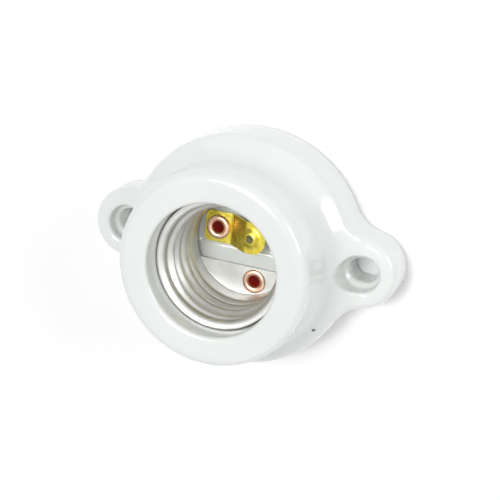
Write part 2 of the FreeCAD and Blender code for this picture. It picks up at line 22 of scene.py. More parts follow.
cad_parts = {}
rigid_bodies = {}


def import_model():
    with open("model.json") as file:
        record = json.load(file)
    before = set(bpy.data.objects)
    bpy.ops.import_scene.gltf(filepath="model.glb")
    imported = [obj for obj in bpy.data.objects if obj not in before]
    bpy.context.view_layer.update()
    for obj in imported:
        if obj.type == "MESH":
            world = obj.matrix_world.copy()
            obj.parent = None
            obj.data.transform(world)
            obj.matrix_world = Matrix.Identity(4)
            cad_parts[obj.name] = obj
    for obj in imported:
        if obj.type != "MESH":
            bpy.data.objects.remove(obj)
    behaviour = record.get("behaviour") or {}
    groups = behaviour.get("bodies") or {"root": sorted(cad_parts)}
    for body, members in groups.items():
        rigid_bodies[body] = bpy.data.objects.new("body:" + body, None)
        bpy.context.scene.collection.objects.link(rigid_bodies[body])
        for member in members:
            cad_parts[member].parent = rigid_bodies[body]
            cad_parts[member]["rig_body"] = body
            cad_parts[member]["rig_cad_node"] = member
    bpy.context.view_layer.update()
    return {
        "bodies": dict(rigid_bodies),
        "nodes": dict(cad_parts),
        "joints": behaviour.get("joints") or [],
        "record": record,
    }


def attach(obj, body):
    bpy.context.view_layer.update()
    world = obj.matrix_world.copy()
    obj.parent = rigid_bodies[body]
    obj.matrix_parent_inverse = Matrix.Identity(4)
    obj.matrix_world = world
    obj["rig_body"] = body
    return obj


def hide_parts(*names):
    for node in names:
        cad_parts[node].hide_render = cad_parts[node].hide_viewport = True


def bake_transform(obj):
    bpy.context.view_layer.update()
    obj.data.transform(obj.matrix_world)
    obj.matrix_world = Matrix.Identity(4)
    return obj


LOG = logging.getLogger("lamp_holder")
MM = 0.001
WHITE = (1.0, 1.0, 1.0, 1.0)

# Places and levels that two pieces share, in millimetres.
SHELL_RIVET = (2.7, -8.4)
CONTACT_RIVET = (-7.3, 2.5)
RIVET_HOLE = 1.9
SHELL_FLOOR = 5.35
CONTACT_SEAT = 4.6
CONTACT_SHEET = 0.5

# Radii and levels that lie nearer than this count as one, in millimetres.
NEAR = 0.01

# Points of a mesh that lie nearer than this are welded, in metres.
WELD = 1e-6
CHAIN_WELD = 1e-7

# Sockets of the colour mix node, which holds a set for each kind of data.
MIX_SHARE, MIX_FIRST, MIX_SECOND = 0, 6, 7
MIX_RESULT = 2


class Slot(Enum):
    """The record's material slots."""

    PORCELAIN = "porcelain"
    NICKEL = "nickel_shell"
    COPPER = "copper"
    BRASS = "brass"
    ZINC = "zinc_steel"


class Shading(Enum):
    """How a finished piece's facets are shaded."""

    SMOOTH = 180.0
    CREASED = 38.0


# ---------------------------------------------------------------- node helper


class NodeBench:
    """Builds one procedural material, node by node."""

    def __init__(self, name: str) -> None:
        """Start an empty material with its output and surface shader.

        Args:
            name: the material's name.
        """
        self.material = bpy.data.materials.new(name)
        self.material.use_nodes = True
        self.tree = self.material.node_tree
        self.tree.nodes.clear()
        self.output = self.add("ShaderNodeOutputMaterial")
        self.shader = self.add("ShaderNodeBsdfPrincipled")
        self.link(self.shader, "BSDF", self.output, "Surface")
        self.place = self.add("ShaderNodeTexCoord")

    def add(self, kind: str, **settings: object) -> bpy.types.Node:
        """Add a node and set its plain properties.

        Args:
            kind: the node's type name.
            settings: properties to set on it.

        Returns:
            The new node.
        """
        node = self.tree.nodes.new(kind)
        for key, value in settings.items():
            setattr(node, key, value)
        return node

    def link(self, source: bpy.types.Node, out: str | int, target: bpy.types.Node,
             into: str | int) -> None:
        """Join an output socket to an input socket.

        Args:
            source: the node that gives the value.
            out: its output, by name or number.
            target: the node that takes the value.
            into: its input, by name or number.
        """
        self.tree.links.new(source.outputs[out], target.inputs[into])

    def set(self, **values: object) -> None:
        """Set the surface shader's own sockets.

        Args:
            values: each socket's value, with _ standing for a space in its name.
        """
        for key, value in values.items():
            self.shader.inputs[key.replace("_", " ")].default_value = value

    def mapping(self, scale: Sequence[float],
                shift: Sequence[float] = (0.0, 0.0, 0.0)) -> bpy.types.Node:
        """Add a mapping of the object's own coordinates.

        Args:
            scale: stretch along each axis.
            shift: move along each axis after the stretch, in metres.

        Returns:
            The mapping node.
        """
        node = self.add("ShaderNodeMapping")
        node.inputs["Scale"].default_value = scale
        node.inputs["Location"].default_value = shift
        self.link(self.place, "Object", node, "Vector")
        return node

    def noise(self, per_mm: float, detail: float = 3.0, roughness: float = 0.5,
              scale: Sequence[float] = (1.0, 1.0, 1.0)) -> bpy.types.Node:
        """Add a noise field in the object's own coordinates.

        Args:
            per_mm: waves in each millimetre.
            detail: how many finer layers lie in it.
            roughness: how strong the finer layers are.
            scale: stretch along each axis.

        Returns:
            The noise node.
        """
        node = self.add("ShaderNodeTexNoise")
        node.inputs["Scale"].default_value = per_mm / MM
        node.inputs["Detail"].default_value = detail
        node.inputs["Roughness"].default_value = roughness
        self.link(self.mapping(scale), "Vector", node, "Vector")
        return node

    def ramp(self, source: bpy.types.Node, out: str | int,
             stops: Sequence[tuple[float, Sequence[float]]]) -> bpy.types.Node:
        """Turn a value into a colour.

        Args:
            source: the node that gives the value.
            out: its output.
            stops: pairs of position and colour (three numbers).

        Returns:
            The ramp node.
        """
        node = self.add("ShaderNodeValToRGB")
        elements = node.color_ramp.elements
        while len(elements) < len(stops):
            elements.new(0.5)
        for element, (position, colour) in zip(elements, stops):
            element.position = position
            element.color = (*colour, 1.0)
        self.link(source, out, node, "Fac")
        return node

    def spread(self, source: bpy.types.Node, out: str | int, low: float, high: float,
               to_low: float, to_high: float) -> bpy.types.Node:
        """Map a value's range onto another range, held at its ends.

        Args:
            source: the node that gives the value.
            out: its output.
            low: the value that gives to_low.
            high: the value that gives to_high.
            to_low: result at the low end.
            to_high: result at the high end.

        Returns:
            The map-range node.
        """
        node = self.add("ShaderNodeMapRange")
        for name, value in (("From Min", low), ("From Max", high),
                            ("To Min", to_low), ("To Max", to_high)):
            node.inputs[name].default_value = value
        self.link(source, out, node, "Value")
        return node

    def mix(self, share: tuple[bpy.types.Node, str | int],
            first: tuple[bpy.types.Node, str | int],
            second: Sequence[float]) -> bpy.types.Node:
        """Mix a plain colour into the colour that a node gives.

        Args:
            share: the node and output that give the share of the plain colour.
            first: the node and output that give the colour where the share is 0.
            second: the plain colour, where the share is 1 (three numbers).

        Returns:
            The mix node, whose colour output is MIX_RESULT.
        """
        node = self.add("ShaderNodeMix", data_type="RGBA")
        self.link(*share, node, MIX_SHARE)
        self.link(*first, node, MIX_FIRST)
        node.inputs[MIX_SECOND].default_value = (*second, 1.0)
        return node

    def bump(self, layers: Sequence[tuple[bpy.types.Node, str | int, float, float]]) -> None:
        """Stack bump layers and lead them to the surface shader.

        Args:
            layers: node, output, height in millimetres and strength of each layer.
        """
        below = None
        for source, out, height, strength in layers:
            node = self.add("ShaderNodeBump")
            node.inputs["Distance"].default_value = height * MM
            node.inputs["Strength"].default_value = strength
            self.link(source, out, node, "Height")
            if below is not None:
                self.link(below, "Normal", node, "Normal")
            below = node
        if below is not None:
            self.link(below, "Normal", self.shader, "Normal")

    def radius(self, centre: Sequence[float], flat: bool = True) -> bpy.types.Node:
        """Measure how far a point lies from a centre or from an upright line.

        Args:
            centre: the centre, in millimetres.
            flat: leave height out, so that the distance is from an upright line.

        Returns:
            A node whose output 0 or "Value" is the distance in metres.
        """
        upright = 0.0 if flat else 1.0
        start = self.mapping((1.0, 1.0, upright), (-centre[0] * MM, -centre[1] * MM,
                                                   -centre[2] * MM * upright))
        node = self.add("ShaderNodeVectorMath", operation="LENGTH")
        self.link(start, "Vector", node, 0)
        return node

    def height(self) -> bpy.types.Node:
        """Split the object's own coordinates.

        Returns:
            A node whose output "Z" is the height in metres.
        """
        node = self.add("ShaderNodeSeparateXYZ")
        self.link(self.place, "Object", node, "Vector")
        return node


# ---------------------------------------------------------------- finishes


@dataclass(frozen=True)
class WhiteGlaze:
    """Glossy white glaze over porcelain, with a slight wave and a few fired-in specks."""

    name: str = "white_glaze"
    tint: tuple[float, float, float] = (0.765, 0.795, 0.775)
    thin_tint: tuple[float, float, float] = (0.795, 0.82, 0.80)
    cloud_per_mm: float = 0.07
    pit_tint: tuple[float, float, float] = (0.60, 0.60, 0.56)
    pit_per_mm: float = 1.6
    pit_strength: float = 0.55
    speck_tint: tuple[float, float, float] = (0.03, 0.025, 0.02)
    speck_place: tuple[float, float, float] = (20.1, -13.9, 12.6)
    speck_size: float = 0.72
    speck_edge: tuple[float, float] = (0.85, 1.15)
    rag_per_mm: float = 2.4
    rag_depth: float = 0.9
    wave_per_mm: float = 0.16
    wave_height: float = 0.22
    peel_per_mm: float = 0.9
    peel_height: float = 0.02
    roughness: tuple[float, float] = (0.13, 0.2)

    def make(self) -> bpy.types.Material:
        """Build the finish.

        Returns:
            The material.
        """
        bench = NodeBench(self.name)
        cloud = bench.noise(self.cloud_per_mm, detail=2.0)
        body = bench.ramp(cloud, "Fac", ((0.35, self.tint), (0.65, self.thin_tint)))
        pits = bench.noise(self.pit_per_mm, detail=2.0, roughness=0.6)
        fine = bench.spread(pits, "Fac", 0.76, 0.80, 0.0, self.pit_strength)
        dusted = bench.mix((fine, "Result"), (body, "Color"), self.pit_tint)
        away = bench.radius(self.speck_place, flat=False)
        ragged = bench.noise(self.rag_per_mm, roughness=0.6)
        size = self.speck_size * MM
        edge = bench.add("ShaderNodeMath", operation="MULTIPLY_ADD")
        edge.inputs[1].default_value = self.rag_depth * size
        bench.link(ragged, "Fac", edge, 0)
        bench.link(away, "Value", edge, 2)
        spot = bench.spread(edge, 0, self.speck_edge[0] * size, self.speck_edge[1] * size,
                            1.0, 0.0)
        coloured = bench.mix((spot, "Result"), (dusted, MIX_RESULT), self.speck_tint)
        bench.link(coloured, MIX_RESULT, bench.shader, "Base Color")
        wave = bench.noise(self.wave_per_mm, detail=2.0, roughness=0.45)
        peel = bench.noise(self.peel_per_mm, detail=2.0)
        sheen = bench.spread(cloud, "Fac", 0.3, 0.7, *self.roughness)
        bench.link(sheen, "Result", bench.shader, "Roughness")
        bench.set(IOR=1.5, Coat_Weight=0.6, Coat_Roughness=0.06,
                  Subsurface_Weight=0.12, Subsurface_Scale=0.0015,
                  Subsurface_Radius=(1.0, 1.0, 1.0))
        bench.bump(((wave, "Fac", self.wave_height, 0.5), (peel, "Fac", self.peel_height, 0.35)))
        return bench.material


@dataclass(frozen=True)
class BareMetal:
    """Rolled or stamped sheet metal with handling marks."""

    name: str
    bright: tuple[float, float, float]
    dull: tuple[float, float, float]
    roughness: tuple[float, float]
    patch_per_mm: float
    grain: tuple[float, float, float]
    grain_height: float
    dent_height: float
    wear_per_mm: float = 1.3
    grain_per_mm: float = 3.0
    dent_per_mm: float = 0.5

    def make(self) -> bpy.types.Material:
        """Build the finish.

        Returns:
            The material.
        """
        bench = NodeBench(self.name)
        patch = bench.noise(self.patch_per_mm, detail=4.0, roughness=0.6)
        tone = bench.ramp(patch, "Fac", ((0.36, self.dull), (0.62, self.bright)))
        bench.link(tone, "Color", bench.shader, "Base Color")
        wear = bench.noise(self.wear_per_mm, roughness=0.6)
        rough = bench.spread(wear, "Fac", 0.3, 0.7, *self.roughness)
        bench.link(rough, "Result", bench.shader, "Roughness")
        bench.set(Metallic=1.0)
        lines = bench.noise(self.grain_per_mm, detail=2.0, roughness=0.6, scale=self.grain)
        dents = bench.noise(self.dent_per_mm, detail=1.0, roughness=0.4)
        bench.bump(((dents, "Fac", self.dent_height, 0.4),
                    (lines, "Fac", self.grain_height, 0.6)))
        return bench.material


@dataclass(frozen=True)
class RivetCopper:
    """Copper with a pale, rubbed head and painted shade in its bore: dark red, stronger further
    down.
    """

    name: str
    centre: tuple[float, float]
    bore_radius: float
    head_level: float
    bright: tuple[float, float, float] = (0.94, 0.65, 0.49)
    dull: tuple[float, float, float] = (0.86, 0.51, 0.35)
    # Painted shade: the dark red colour painted into the bore.
    bore: tuple[float, float, float] = (0.62, 0.035, 0.006)
    patch_per_mm: float = 0.8
    mark_per_mm: float = 2.2
    mark_height: float = 0.03
    # Depths below the head where the painted shade in the bore starts and where it is full, in
    # millimetres.
    shade_from: float = 0.28
    shade_full: float = 1.0
    bore_edge: tuple[float, float] = (0.02, 0.22)
    roughness: tuple[float, float] = (0.3, 0.62)
    bore_metallic: float = 0.15

    def make(self) -> bpy.types.Material:
        """Build the finish.

        Returns:
            The material.
        """
        bench = NodeBench(self.name)
        patch = bench.noise(self.patch_per_mm, roughness=0.6)
        tone = bench.ramp(patch, "Fac", ((0.34, self.dull), (0.58, self.bright)))
        # Painted shade: inside the bore the copper turns dark red, duller and less metallic, more
        # so the deeper it goes.
        level = bench.height()
        depth_shade = bench.spread(level, "Z", (self.head_level - self.shade_full) * MM,
                            (self.head_level - self.shade_from) * MM, 1.0, 0.0)
        away = bench.radius((self.centre[0], self.centre[1], 0.0))
        inside = bench.spread(away, "Value", (self.bore_radius + self.bore_edge[0]) * MM,
                              (self.bore_radius + self.bore_edge[1]) * MM, 1.0, 0.0)
        bore_shade_mask = bench.add("ShaderNodeMath", operation="MULTIPLY")
        bench.link(depth_shade, "Result", bore_shade_mask, 0)
        bench.link(inside, "Result", bore_shade_mask, 1)
        coloured = bench.mix((bore_shade_mask, 0), (tone, "Color"), self.bore)
        bench.link(coloured, MIX_RESULT, bench.shader, "Base Color")
        rough = bench.spread(bore_shade_mask, 0, 0.0, 1.0, *self.roughness)
        bench.link(rough, "Result", bench.shader, "Roughness")
        bare = bench.spread(bore_shade_mask, 0, 0.0, 1.0, 1.0, self.bore_metallic)
        bench.link(bare, "Result", bench.shader, "Metallic")
        marks = bench.noise(self.mark_per_mm, roughness=0.6)
        bench.bump(((marks, "Fac", self.mark_height, 0.5),))
        return bench.material


NICKEL_PLATE = BareMetal(
    "nickel_plate", bright=(0.71, 0.71, 0.69), dull=(0.64, 0.64, 0.615),
    roughness=(0.38, 0.48), patch_per_mm=0.16, grain=(0.3, 0.3, 3.0),
    grain_height=0.004, dent_height=0.03)
STRIP_BRASS = BareMetal(
    "strip_brass", bright=(0.86, 0.74, 0.13), dull=(0.66, 0.52, 0.05),
    roughness=(0.24, 0.38), patch_per_mm=0.45, grain=(0.4, 3.0, 1.0),
    grain_height=0.012, dent_height=0.08)
PLATE_BRASS = BareMetal(
    "plate_brass", bright=(0.80, 0.66, 0.24), dull=(0.60, 0.46, 0.12),
    roughness=(0.25, 0.42), patch_per_mm=0.4, grain=(3.0, 0.4, 1.0),
    grain_height=0.02, dent_height=0.06)
SCREW_ZINC = BareMetal(
    "screw_zinc", bright=(0.74, 0.74, 0.73), dull=(0.55, 0.56, 0.57),
    roughness=(0.25, 0.45), patch_per_mm=0.9, grain=(1.0, 1.0, 1.0),
    grain_height=0.015, dent_height=0.03)
WASHER_ZINC = BareMetal(
    "washer_zinc", bright=(0.72, 0.73, 0.72), dull=(0.54, 0.55, 0.57),
    roughness=(0.28, 0.46), patch_per_mm=0.8, grain=(1.0, 1.0, 1.0),
    grain_height=0.02, dent_height=0.04)


# ---------------------------------------------------------------- shaping helper


class Workbench:
    """Adds, shapes and finishes meshes with Blender's own tools."""

    @staticmethod
    def clear_selection() -> None:
        """Deselect every object."""
        bpy.ops.object.select_all(action="DESELECT")

    @classmethod
    def pick(cls, piece: bpy.types.Object) -> None:
        """Make one object the only selected and the active one.

        Args:
            piece: the object.
        """
        cls.clear_selection()
        piece.select_set(True)
        bpy.context.view_layer.objects.active = piece

    @classmethod
    def line(cls, name: str, points: Sequence[Vector], closed: bool = False) -> bpy.types.Object:
        """Draw a chain of straight edges by extruding one point from place to place.

        Args:
            name: the new object's name.
            points: the places, in metres.
            closed: join the last place to the first.

        Returns:
            The object that holds the chain.
        """
        cls.clear_selection()
        bpy.context.tool_settings.mesh_select_mode = (True, False, False)
        bpy.ops.mesh.primitive_plane_add(size=MM, location=(0.0, 0.0, 0.0))
        piece = bpy.context.active_object
        piece.name = name
        bpy.ops.object.mode_set(mode="EDIT")
        bpy.ops.mesh.select_all(action="SELECT")
        bpy.ops.mesh.merge(type="CENTER")
        bpy.ops.transform.translate(value=points[0])
        for before, after in zip(points, points[1:]):
            bpy.ops.mesh.extrude_region_move(TRANSFORM_OT_translate={"value": after - before})
        if closed:
            bpy.ops.mesh.select_all(action="SELECT")
            bpy.ops.mesh.remove_doubles(threshold=CHAIN_WELD)
            cls.join_ends(piece)
        bpy.ops.object.mode_set(mode="OBJECT")
        return piece

    @staticmethod
    def join_ends(piece: bpy.types.Object) -> None:
        """Join the two loose ends of the chain being edited with one edge.

        Args:
            piece: the object that holds the chain.
        """
        bpy.ops.object.mode_set(mode="OBJECT")
        used = [0] * len(piece.data.vertices)
        for edge in piece.data.edges:
            for index in edge.vertices:
                used[index] += 1
        for vertex in piece.data.vertices:
            vertex.select = used[vertex.index] == 1
        bpy.ops.object.mode_set(mode="EDIT")
        if used.count(1) == 2:
            bpy.ops.mesh.edge_face_add()

    @classmethod
    def lathe(cls, name: str, profile: Sequence[tuple[float, float]], steps: int,
              closed: bool = True, centre: tuple[float, float] = (0.0, 0.0)) -> bpy.types.Object:
        """Spin a profile of (radius, height) places, in millimetres, about an upright line.

        Args:
            name: the new object's name.
            profile: the places, in order.
            steps: how many facets go round.
            closed: the profile is a loop, so the piece is a solid ring.
            centre: where the upright line stands.

        Returns:
            The finished object.
        """
        points = [Vector((r * MM, 0.0, z * MM)) for r, z in profile]
        piece = cls.line(name, points, closed)
        bpy.ops.object.mode_set(mode="EDIT")
        bpy.ops.mesh.select_all(action="SELECT")
        bpy.ops.mesh.spin(steps=steps, angle=math.tau, center=(0.0, 0.0, 0.0),
                          axis=(0.0, 0.0, 1.0))
        bpy.ops.mesh.select_all(action="SELECT")
        bpy.ops.mesh.remove_doubles(threshold=WELD)
        bpy.ops.mesh.normals_make_consistent(inside=False)
        bpy.ops.transform.translate(value=(centre[0] * MM, centre[1] * MM, 0.0))
        bpy.ops.object.mode_set(mode="OBJECT")
        return piece

    @classmethod
    def drum(cls, name: str, radius: float, low: float, high: float,
             centre: tuple[float, float] = (0.0, 0.0), steps: int = 64) -> bpy.types.Object:
        """Make a plain upright drum for cutting, sizes in millimetres.

        Args:
            name: the new object's name.
            radius: its radius.
            low: its lower level.
            high: its upper level.
            centre: where its axis stands.
            steps: how many facets go round.

        Returns:
            The drum.
        """
        cls.clear_selection()
        bpy.ops.mesh.primitive_cylinder_add(
            vertices=steps, radius=radius * MM, depth=(high - low) * MM,
            location=(centre[0] * MM, centre[1] * MM, (low + high) / 2 * MM))
        piece = bpy.context.active_object
        piece.name = name
        return piece

    @classmethod
    def use(cls, piece: bpy.types.Object, kind: str, **settings: object) -> None:
        """Add a modifier, set it and apply it.

        Args:
            piece: the object it works on.
            kind: the modifier's type.
            settings: its properties.
        """
        modifier = piece.modifiers.new(kind.lower(), kind)
        for key, value in settings.items():
            setattr(modifier, key, value)
        cls.pick(piece)
        bpy.ops.object.modifier_apply(modifier=modifier.name)

    @classmethod
    def cut(cls, piece: bpy.types.Object, tool: bpy.types.Object,
            operation: str = "DIFFERENCE") -> None:
        """Cut one closed mesh by another and throw the tool away.

        Args:
            piece: the mesh that stays.
            tool: the mesh that cuts it.
            operation: DIFFERENCE, INTERSECT or UNION.
        """
        cls.use(piece, "BOOLEAN", object=tool, operation=operation, solver="EXACT")
        bpy.data.objects.remove(tool)

    @staticmethod
    def shape(piece: bpy.types.Object, move: Callable[[Vector], Vector]) -> None:
        """Move every point of a mesh by a rule, as a press or a roller would.

        Args:
            piece: the object.
            move: gives each point's new place from its old one, in metres.
        """
        for vertex in piece.data.vertices:
            vertex.co = move(vertex.co)
        piece.data.update()

    @classmethod
    def finish(cls, piece: bpy.types.Object, material: bpy.types.Material,
               shading: Shading = Shading.SMOOTH) -> None:
        """Settle an object's place in its mesh, shade it and give it its finish.

        Args:
            piece: the object.
            material: its finish.
            shading: how its facets are shaded.
        """
        cls.pick(piece)
        bpy.ops.object.transform_apply(location=True, rotation=True, scale=True)
        if shading is Shading.SMOOTH:
            bpy.ops.object.shade_smooth()
        else:
            bpy.ops.object.shade_smooth_by_angle(angle=math.radians(shading.value))
        piece.data.materials.clear()
        piece.data.materials.append(material)
        cls.clear_selection()

    @staticmethod
    def arc(centre: tuple[float, float], radius: float, start: float, end: float,
            count: int) -> list[tuple[float, float]]:
        """List places along an arc of a profile.

        Args:
            centre: the arc's centre.
            radius: its radius.
            start: its first angle, in degrees.
            end: its last angle, in degrees.
            count: how many places.

        Returns:
            The places, both ends among them.
        """
        places = []
        for step in range(count):
            angle = math.radians(start + (end - start) * step / (count - 1))
            places.append((centre[0] + radius * math.cos(angle),
                           centre[1] + radius * math.sin(angle)))
        return places


def smoothstep(low: float, high: float, value: float) -> float:
    """Rise softly from 0 at the low value to 1 at the high one.

    Args:
        low: where the rise starts.
        high: where it ends.
        value: the value to judge.

    Returns:
        The share, from 0 to 1.
    """
    share = min(max((value - low) / (high - low), 0.0), 1.0)
    return share * share * (3.0 - 2.0 * share)


# ---------------------------------------------------------------- sub-assemblies


@dataclass
class PorcelainBody:
    """The glazed body: its solid's form with edges softened where the glaze has run."""

    frame: dict
    voxel: float = 0.42
    rounds: int = 7
    ear_rounds: int = 12
    ear_start: float = 22.5
    ear_low: float = 3.2
    ear_fade: tuple[float, float] = (3.0, 1.5)
    strength: float = 0.5
    finish: WhiteGlaze = WhiteGlaze()

    def build(self) -> bpy.types.Object:
        """Make the body.

        Returns:
            The finished piece.
        """
        source = self.frame["nodes"]["porcelain_body"]
        piece = source.copy()
        piece.data = source.data.copy()
        piece.parent = None
        piece.name = "glazed_body"
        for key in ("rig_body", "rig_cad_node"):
            if key in piece:
                del piece[key]
        bpy.context.scene.collection.objects.link(piece)
        Workbench.pick(piece)
        bpy.ops.object.mode_set(mode="EDIT")
        bpy.ops.mesh.select_all(action="SELECT")
        bpy.ops.mesh.remove_doubles(threshold=WELD)
        bpy.ops.object.mode_set(mode="OBJECT")
        Workbench.use(piece, "REMESH", mode="VOXEL", voxel_size=self.voxel * MM)
        Workbench.use(piece, "SMOOTH", factor=self.strength, iterations=self.rounds)
        self.soften_ears(piece)
        Workbench.finish(piece, self.finish.make())
        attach(piece, "holder")
        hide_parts("porcelain_body")
        return piece

    def soften_ears(self, piece: bpy.types.Object) -> None:
        """Let the glaze run further over the ears' slots and recesses.

        Args:
            piece: the body.
        """
        group = piece.vertex_groups.new(name="ears")
        for vertex in piece.data.vertices:
            share = smoothstep(self.ear_start, self.ear_start + self.ear_fade[0],
                               abs(vertex.co.x) / MM)
            share *= smoothstep(self.ear_low, self.ear_low + self.ear_fade[1],
                                vertex.co.z / MM)
            if share > 0.0:
                group.add([vertex.index], share, "REPLACE")
        Workbench.use(piece, "SMOOTH", factor=self.strength, iterations=self.ear_rounds,
                      vertex_group=group.name)
        piece.vertex_groups.clear()


@dataclass
class ScrewShell:
    """The rolled nickel-plated shell: round thread, rolled rim, D-shaped riveting floor."""

    sheet: float = 0.35
    floor: float = SHELL_FLOOR
    floor_rings: tuple[float, float] = (4.0, 8.0)
    rim: float = 21.8
    inner_radius: float = 12.25
    throat_radius: float = 13.5
    rim_radius: float = 14.6
    lip_drop: float = 0.62
    lip_inset: float = 0.08
    lip_end: float = 78.0
    thread_depth: float = 1.1
    crest_power: float = 0.85
    pitch: float = 3.629
    thread_low: float = 10.2
    thread_high: float = 20.0
    run_in: tuple[float, float] = (0.9, 1.1)
    run_out: tuple[float, float] = (0.9, 0.8)
    bend: float = 0.5
    chord: float = -5.2
    chord_reach: float = 0.7
    rivet: tuple[float, float] = SHELL_RIVET
    rivet_hole: float = RIVET_HOLE
    punch: tuple[float, float] = (4.0, 6.5)
    steps: int = 168
    ring_gap: float = 0.26
    finish: BareMetal = NICKEL_PLATE

    def profile(self) -> list[tuple[float, float]]:
        """List the plain inner profile from the floor's middle up to the rim.

        Returns:
            Places of radius and height.
        """
        places = [(radius, self.floor) for radius in (0.0, *self.floor_rings)]
        inset = self.inner_radius - self.bend
        places += Workbench.arc((inset, self.floor + self.bend), self.bend, -90.0, 0.0, 7)
        level = self.floor + self.bend + self.ring_gap
        lip = self.rim - self.lip_drop
        while level < lip:
            places.append((self.inner_radius, level))
            level += self.ring_gap
        lip_radius = self.rim_radius - self.throat_radius - self.lip_inset
        places += Workbench.arc((self.throat_radius + lip_radius, lip), lip_radius,
                                180.0, self.lip_end, 9)
        return places

    def roll(self, point: Vector) -> Vector:
        """Press the thread and the widened throat into the plain wall.

        Args:
            point: a point of the plain shell, in metres.

        Returns:
            Its place after rolling.
        """
        radius = math.hypot(point.x, point.y) / MM
        level = point.z / MM
        if radius < self.inner_radius - NEAR or level > self.rim - self.lip_drop - NEAR:
            return point
        angle = math.atan2(point.y, point.x)
        wave = 0.5 - 0.5 * math.cos(math.tau * (level - self.thread_low) / self.pitch - angle)
        depth = self.thread_depth * wave ** self.crest_power
        depth *= smoothstep(self.thread_low - self.run_in[0], self.thread_low + self.run_in[1],
                            level)
        rolled = self.inner_radius + depth
        share = smoothstep(self.thread_high - self.run_out[0],
                           self.thread_high + self.run_out[1], level)
        rolled += (self.throat_radius - rolled) * share
        return Vector((point.x * rolled / radius, point.y * rolled / radius, point.z))

    def build(self) -> bpy.types.Object:
        """Make the shell.

        Returns:
            The finished piece.
        """
        piece = Workbench.lathe("screw_shell_rolled", self.profile(), self.steps, closed=False)
        limit = (self.floor + self.chord_reach * self.bend) * MM
        bpy.context.tool_settings.mesh_select_mode = (False, False, True)
        for part in (*piece.data.vertices, *piece.data.edges):
            part.select = False
        for polygon in piece.data.polygons:
            polygon.select = all(piece.data.vertices[i].co.z < limit for i in polygon.vertices)
        bpy.ops.object.mode_set(mode="EDIT")
        bpy.ops.mesh.bisect(plane_co=(0.0, self.chord * MM, 0.0), plane_no=(0.0, 1.0, 0.0),
                            clear_outer=True)
        bpy.ops.object.mode_set(mode="OBJECT")
        Workbench.shape(piece, self.roll)
        Workbench.pick(piece)
        bpy.ops.object.mode_set(mode="EDIT")
        bpy.ops.mesh.select_mode(type="VERT")
        bpy.ops.mesh.select_all(action="SELECT")
        bpy.ops.mesh.remove_doubles(threshold=WELD)
        bpy.ops.mesh.normals_make_consistent(inside=False)
        bpy.ops.object.mode_set(mode="OBJECT")
        self.face_inwards(piece)
        Workbench.use(piece, "SOLIDIFY", thickness=self.sheet * MM, offset=-1.0)
        hole = Workbench.drum("shell_rivet_hole", self.rivet_hole, *self.punch, self.rivet)
        Workbench.cut(piece, hole)
        Workbench.finish(piece, self.finish.make(), Shading.CREASED)
        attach(piece, "holder")
        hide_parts("screw_shell")
        return piece

    @staticmethod
    def face_inwards(piece: bpy.types.Object) -> None:
        """Turn the sheet's faces so that they look towards the socket's axis.

        Args:
            piece: the shell, still without thickness.
        """
        face = max(piece.data.polygons, key=lambda p: math.hypot(p.center.x, p.center.y))
        outwards = Vector((face.center.x, face.center.y, 0.0)).dot(face.normal) > 0.0
        if outwards:
            piece.data.flip_normals()


